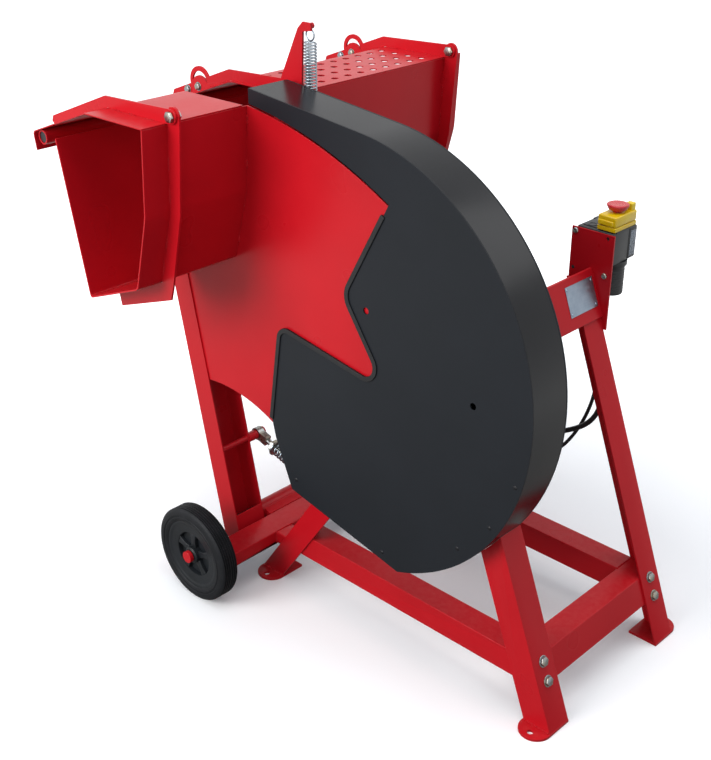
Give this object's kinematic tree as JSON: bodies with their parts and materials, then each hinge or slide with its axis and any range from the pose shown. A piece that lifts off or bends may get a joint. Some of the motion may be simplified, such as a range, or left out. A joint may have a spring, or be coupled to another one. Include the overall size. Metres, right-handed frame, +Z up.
{
  "type": "tilting-cradle log saw",
  "caption": "Firewood saw with a red leg frame, a fixed black blade guard, a swinging log cradle with a hinged hold-down cover, and transport wheels.",
  "frame": {"origin": "centre of the rectangle of foot bolt holes, on the floor", "axes": "+Z up, -Y towards the blade guard's outer face, -X towards the operator and the cradle"},
  "size_m": [1.008, 0.821, 1.102],
  "materials": {
    "red_paint": "gloss",
    "black_paint": "satin",
    "zinc": "satin",
    "blade_steel": "satin",
    "rubber": "matte",
    "tyre": "matte",
    "black_plastic": "satin",
    "yellow_plastic": "gloss",
    "red_plastic": "gloss",
    "green_plastic": "gloss",
    "motor_grey": "satin",
    "core_steel": "matte",
    "plate": "satin"
  },
  "bodies": {
    "frame": {"axle_beam": "red_paint", "axle_caps": "red_paint", "cross_beams": "red_paint", "guard_back_plate": "black_paint", "guard_front_plate": "black_paint", "guard_rim": "black_paint", "guard_trim": "rubber", "lead_thick": "rubber", "lead_thin": "rubber", "leg_back_left": "red_paint", "leg_back_right": "red_paint", "leg_front_left": "red_paint", "leg_front_right": "red_paint", "mains_inlet": "black_plastic", "motor_bearings": "core_steel", "motor_fan_cover": "black_plastic", "motor_housing": "motor_grey", "motor_plate": "red_paint", "motor_shields": "motor_grey", "motor_stator": "core_steel", "panel_screws": "zinc", "pivot_tube": "red_paint", "rating_plate": "plate", "switch_box": "black_plastic", "switch_collar": "yellow_plastic", "switch_plate": "red_paint", "terminal_box": "black_plastic", "top_rail": "red_paint", "web_bolts": "zinc", "wheel_axles": "zinc"},
    "blade": {"saw_blade": "blade_steel", "outer_flange": "blade_steel", "arbor_nut": "blade_steel", "motor_shaft": "blade_steel", "motor_fan": "black_plastic"},
    "cradle": {"trough_front": "red_paint", "trough_back": "red_paint", "side_plates": "red_paint", "post_front": "red_paint", "post_back": "red_paint", "trough_ribs": "red_paint", "hinge_bolts": "zinc", "pivot_shaft": "zinc"},
    "cover": {"cover_sheets": "red_paint", "cover_arms": "red_paint", "grip_plates": "red_paint", "grip_bolts": "zinc", "lever_arm": "red_paint", "handle_bar": "red_paint", "handle_caps": "black_plastic", "cover_spring": "zinc"},
    "rod": {"return_rod": "zinc", "return_spring": "zinc"},
    "wheel_front": {"tyre_front": "tyre", "hub_front": "black_plastic"},
    "wheel_back": {"tyre_back": "tyre", "hub_back": "black_plastic"},
    "flap": {"switch_flap": "yellow_plastic"},
    "stop": {"stop_button": "red_plastic"},
    "start": {"start_button": "green_plastic"}
  },
  "joints": [
    {"name": "blade_spin", "type": "hinge", "parent": "frame", "child": "blade", "pos_m": [-0.0526, 0, 0.6185], "axis": [0, 1, 0], "continuous": true},
    {"name": "cradle_swing", "type": "hinge", "parent": "frame", "child": "cradle", "pos_m": [-0.417, 0, 0.094], "axis": [0, 1, 0], "range_deg": [0, 20], "stiffness_Nm_per_rad": 180, "springref_deg": -11.46, "deforming": ["return_spring"]},
    {"name": "cover_hinge", "type": "hinge", "parent": "cradle", "child": "cover", "pos_m": [-0.304, 0, 0.989], "axis": [0, 1, 0], "range_deg": [0, 80], "deforming": ["cover_spring"]},
    {"name": "rod_pivot", "type": "hinge", "parent": "cradle", "child": "rod", "pos_m": [-0.437, -0.13, 0.26], "axis": [0, 1, 0], "range_deg": [-20, 0]},
    {"name": "wheel_front_spin", "type": "hinge", "parent": "frame", "child": "wheel_front", "pos_m": [-0.385, 0, 0.0986], "axis": [0, 1, 0], "continuous": true},
    {"name": "wheel_back_spin", "type": "hinge", "parent": "frame", "child": "wheel_back", "pos_m": [-0.385, 0, 0.0986], "axis": [0, 1, 0], "continuous": true},
    {"name": "flap_hinge", "type": "hinge", "parent": "frame", "child": "flap", "pos_m": [0.131, 0.268, 0.763], "axis": [-1, 0, 0], "range_deg": [0, 95]},
    {"name": "stop_press", "type": "slide", "parent": "flap", "child": "stop", "axis": [0, 0, -1], "range_m": [0, 0.004], "stiffness_N_per_m": 400},
    {"name": "start_press", "type": "slide", "parent": "frame", "child": "start", "axis": [0, 0, -1], "range_m": [0, 0.003], "stiffness_N_per_m": 300}
  ],
  "couplings": [
    {"joint": "rod_pivot", "follows": "cradle_swing", "ratio": -0.78}
  ]
}
